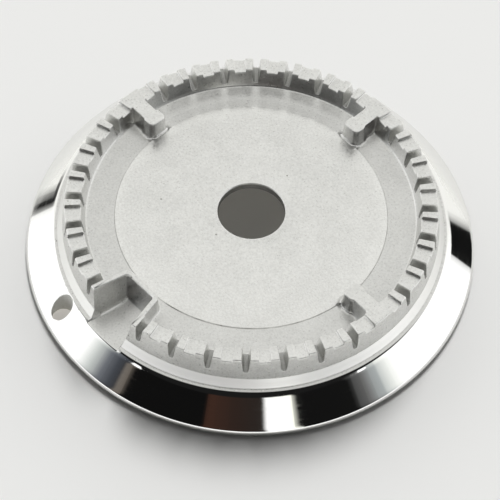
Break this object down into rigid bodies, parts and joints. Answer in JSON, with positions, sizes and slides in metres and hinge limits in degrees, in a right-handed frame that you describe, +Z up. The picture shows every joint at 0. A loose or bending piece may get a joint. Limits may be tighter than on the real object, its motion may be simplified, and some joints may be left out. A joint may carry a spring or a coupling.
{
  "type": "gas burner head",
  "caption": "Round die-cast aluminium gas burner head: castellated port crown, cap lugs, an open igniter pocket, a gas bore in a shallow dish and a mirror-turned conical skirt.",
  "frame": {"origin": "centre of the rim's underside, on the head's axis", "axes": "+Z up along the head's axis, -Y to the viewer of the picture, the igniter pocket between -X and -Y"},
  "size_m": [0.128, 0.128, 0.0195],
  "materials": {
    "cast_aluminium": "blasted casting with a mirror-turned skirt"
  },
  "bodies": {
    "root": {"burner_head": "cast_aluminium"}
  },
  "joints": []
}
